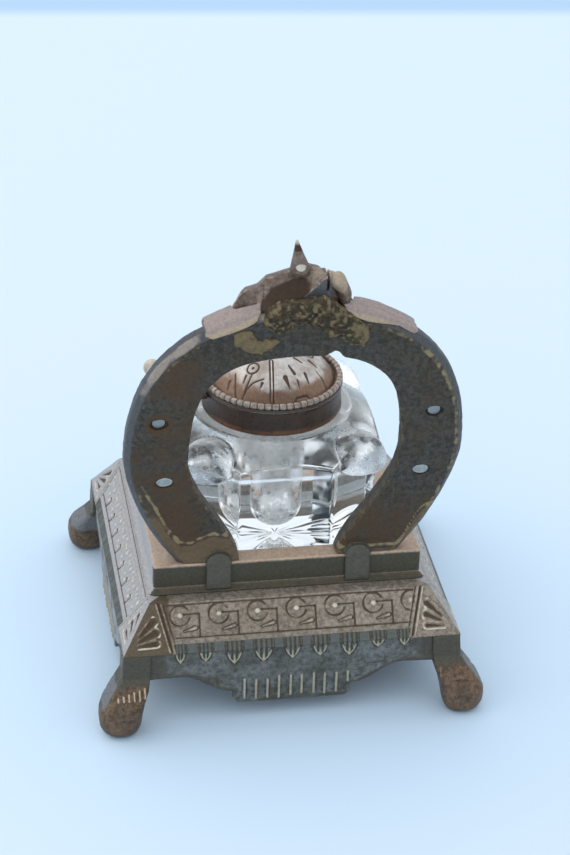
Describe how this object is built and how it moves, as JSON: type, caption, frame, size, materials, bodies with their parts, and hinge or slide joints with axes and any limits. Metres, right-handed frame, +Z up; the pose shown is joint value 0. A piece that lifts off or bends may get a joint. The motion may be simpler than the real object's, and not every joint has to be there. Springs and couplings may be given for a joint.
{
  "type": "desk inkstand",
  "caption": "Desk inkstand: square cast stand on four splayed feet, horseshoe back with pen hooks, lift-out cut glass inkwell with a domed hinged lid.",
  "frame": {"origin": "middle of the stand's footprint, on the table", "axes": "+Z up; the front faces -Y, the horseshoe stands at +Y, and the lid's hinge is at +X"},
  "size_m": [0.1036, 0.1036, 0.137],
  "materials": {
    "bronzed_casting": "aged bronze wash over cast metal, brown in the hollows",
    "grey_metal": "bare blue-grey cast metal, worn",
    "brown_foot": "rubbed brown bronze",
    "screw_steel": "dull",
    "dark_shoe": "dark olive-grey patina with gilt crust along the bevel",
    "nail_metal": "filed flat, grey",
    "hook_brass": "worn gilt",
    "crest_bronze": "mauve-brown bronze, worn pale on the high places",
    "old_solder": "rough, golden with green crust",
    "clear_glass": "clear cut glass, polished",
    "plaster": "matte",
    "collar_brass": "dark brown lacquered brass",
    "lid_copper": "silvery high places over copper brown, engraved",
    "bead_silver": "bright worn beads"
  },
  "bodies": {
    "stand": {"stand_top": "bronzed_casting", "gallery": "bronzed_casting", "front_apron": "grey_metal", "rear_apron": "grey_metal", "left_apron": "grey_metal", "right_apron": "grey_metal", "front_left_foot": "brown_foot", "front_right_foot": "brown_foot", "rear_left_foot": "brown_foot", "rear_right_foot": "brown_foot", "gallery_screws": "screw_steel", "horseshoe": "dark_shoe", "horseshoe_nails": "nail_metal", "left_pen_hook": "hook_brass", "right_pen_hook": "hook_brass", "crest": "crest_bronze", "crest_solder": "old_solder"},
    "inkwell": {"glass_inkwell": "clear_glass", "neck_cement": "plaster", "collar": "collar_brass", "hinge_pin": "hook_brass"},
    "lid": {"lid": "lid_copper", "lid_beading": "bead_silver"}
  },
  "joints": [
    {"name": "inkwell_lift", "type": "slide", "parent": "stand", "child": "inkwell", "axis": [0, 0, 1], "range_m": [0, 0.103]},
    {"name": "lid_hinge", "type": "hinge", "parent": "inkwell", "child": "lid", "pos_m": [0.0213, 0, 0.0777], "axis": [0, 1, 0], "range_deg": [0, 105]}
  ]
}
